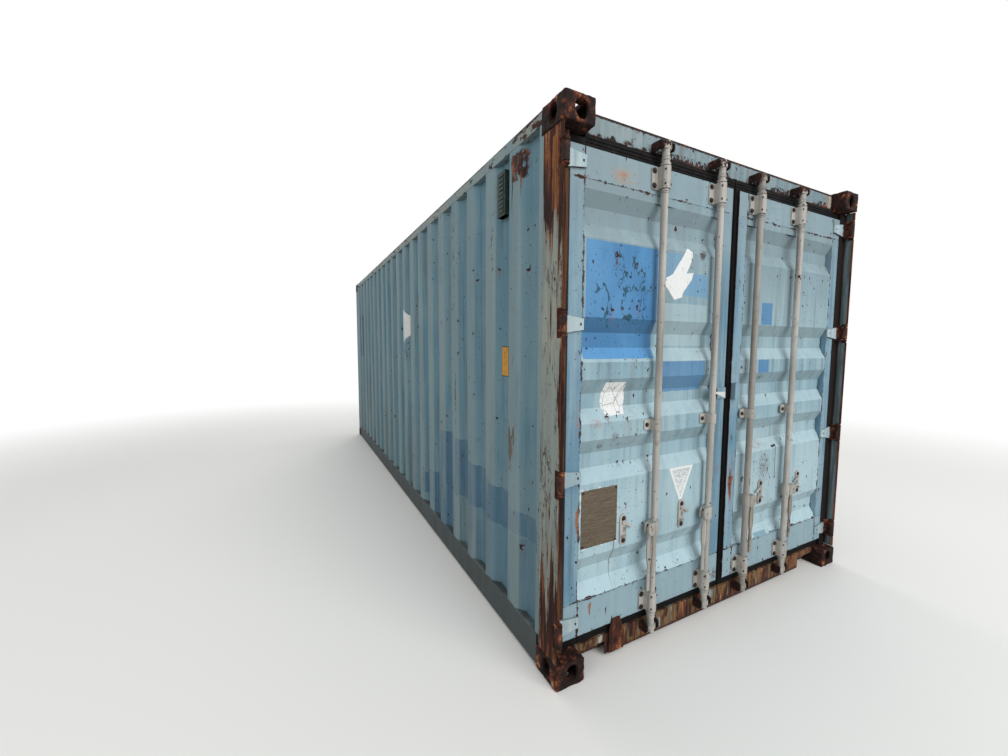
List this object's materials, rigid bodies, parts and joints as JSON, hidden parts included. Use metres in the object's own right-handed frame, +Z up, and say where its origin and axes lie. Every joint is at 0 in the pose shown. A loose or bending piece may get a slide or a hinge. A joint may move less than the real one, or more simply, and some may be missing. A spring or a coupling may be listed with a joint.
{
  "type": "twenty foot dry freight shipping container",
  "caption": "Weathered light blue steel shipping container with corrugated walls, roof and a pair of rear doors with rod locking gear.",
  "frame": {"origin": "middle of the container's footprint, on the level that its bottom corner castings stand on", "axes": "+Z up, +Y along the container from its doors to its front end, +X to the right of a person facing the doors"},
  "size_m": [2.438, 6.058, 2.591],
  "materials": {
    "door_paint": "matt",
    "wall_paint": "matt",
    "underframe_coating": "matt",
    "rusty_steel": "matt",
    "pin_steel": "satin",
    "gear_coating": "satin",
    "seal_rubber": "matt",
    "floor_wood": "matt",
    "dark_plastic": "matt",
    "plate_paint": "satin",
    "weathered_plate": "matt"
  },
  "bodies": {
    "container": {"corner_castings_rear": "rusty_steel", "corner_castings_front": "rusty_steel", "rear_posts": "rusty_steel", "front_posts": "wall_paint", "door_header": "door_paint", "door_sill": "door_paint", "front_rails": "wall_paint", "top_side_rails": "wall_paint", "bottom_side_rails": "wall_paint", "side_walls": "wall_paint", "front_wall": "wall_paint", "roof_panel": "wall_paint", "cross_members": "underframe_coating", "floor_boards": "floor_wood", "hinge_lugs": "rusty_steel", "hinge_pins": "pin_steel", "rod_keepers": "rusty_steel", "side_ventilators": "dark_plastic", "side_marker_plate": "plate_paint"},
    "left_door": {"left_door_frame": "door_paint", "left_door_panel": "door_paint", "left_door_seal": "seal_rubber", "left_hinge_blades": "door_paint", "left_rod_brackets": "gear_coating", "left_handle_retainers": "gear_coating", "left_data_plate": "weathered_plate", "left_bottom_strap": "rusty_steel"},
    "right_door": {"right_door_frame": "door_paint", "right_door_panel": "door_paint", "right_door_seal": "seal_rubber", "right_hinge_blades": "door_paint", "right_rod_brackets": "gear_coating", "right_handle_retainers": "gear_coating"},
    "left_outer_rod": {"left_outer_rod": "gear_coating"},
    "left_inner_rod": {"left_inner_rod": "gear_coating"},
    "right_inner_rod": {"right_inner_rod": "gear_coating"},
    "right_outer_rod": {"right_outer_rod": "gear_coating"},
    "left_outer_handle": {"left_outer_handle": "gear_coating"},
    "left_inner_handle": {"left_inner_handle": "gear_coating"},
    "right_inner_handle": {"right_inner_handle": "gear_coating"},
    "right_outer_handle": {"right_outer_handle": "gear_coating"},
    "left_outer_catch": {"left_outer_catch": "gear_coating"},
    "left_inner_catch": {"left_inner_catch": "gear_coating"},
    "right_inner_catch": {"right_inner_catch": "gear_coating"},
    "right_outer_catch": {"right_outer_catch": "gear_coating"}
  },
  "joints": [
    {"name": "left_door_swing", "type": "hinge", "parent": "container", "child": "left_door", "pos_m": [-1.195, -3.009, 1.3], "axis": [0, 0, 1], "range_deg": [-262, 0]},
    {"name": "right_door_swing", "type": "hinge", "parent": "container", "child": "right_door", "pos_m": [1.195, -3.009, 1.3], "axis": [0, 0, -1], "range_deg": [-262, 0]},
    {"name": "left_outer_rod_turn", "type": "hinge", "parent": "left_door", "child": "left_outer_rod", "pos_m": [-0.6, -2.995, 1.3], "axis": [0, 0, 1], "range_deg": [0, 110]},
    {"name": "left_inner_rod_turn", "type": "hinge", "parent": "left_door", "child": "left_inner_rod", "pos_m": [-0.178, -2.995, 1.3], "axis": [0, 0, 1], "range_deg": [0, 110]},
    {"name": "right_inner_rod_turn", "type": "hinge", "parent": "right_door", "child": "right_inner_rod", "pos_m": [0.178, -2.995, 1.3], "axis": [0, 0, -1], "range_deg": [0, 110]},
    {"name": "right_outer_rod_turn", "type": "hinge", "parent": "right_door", "child": "right_outer_rod", "pos_m": [0.6, -2.995, 1.3], "axis": [0, 0, -1], "range_deg": [0, 110]},
    {"name": "left_outer_handle_swing", "type": "hinge", "parent": "left_outer_rod", "child": "left_outer_handle", "pos_m": [-0.64, -3.006, 0.636], "axis": [0, 1, 0], "range_deg": [0, 95]},
    {"name": "left_inner_handle_swing", "type": "hinge", "parent": "left_inner_rod", "child": "left_inner_handle", "pos_m": [-0.218, -3.006, 0.636], "axis": [0, 1, 0], "range_deg": [0, 95]},
    {"name": "right_inner_handle_swing", "type": "hinge", "parent": "right_inner_rod", "child": "right_inner_handle", "pos_m": [0.218, -3.006, 0.636], "axis": [0, -1, 0], "range_deg": [0, 95]},
    {"name": "right_outer_handle_swing", "type": "hinge", "parent": "right_outer_rod", "child": "right_outer_handle", "pos_m": [0.64, -3.006, 0.636], "axis": [0, -1, 0], "range_deg": [0, 95]},
    {"name": "left_outer_catch_swing", "type": "hinge", "parent": "left_door", "child": "left_outer_catch", "pos_m": [-0.785, -2.974, 0.684], "axis": [0, 1, 0], "range_deg": [-60, 90]},
    {"name": "left_inner_catch_swing", "type": "hinge", "parent": "left_door", "child": "left_inner_catch", "pos_m": [-0.363, -2.974, 0.684], "axis": [0, 1, 0], "range_deg": [-60, 90]},
    {"name": "right_inner_catch_swing", "type": "hinge", "parent": "right_door", "child": "right_inner_catch", "pos_m": [0.363, -2.974, 0.684], "axis": [0, -1, 0], "range_deg": [-60, 90]},
    {"name": "right_outer_catch_swing", "type": "hinge", "parent": "right_door", "child": "right_outer_catch", "pos_m": [0.785, -2.974, 0.684], "axis": [0, -1, 0], "range_deg": [-60, 90]}
  ]
}
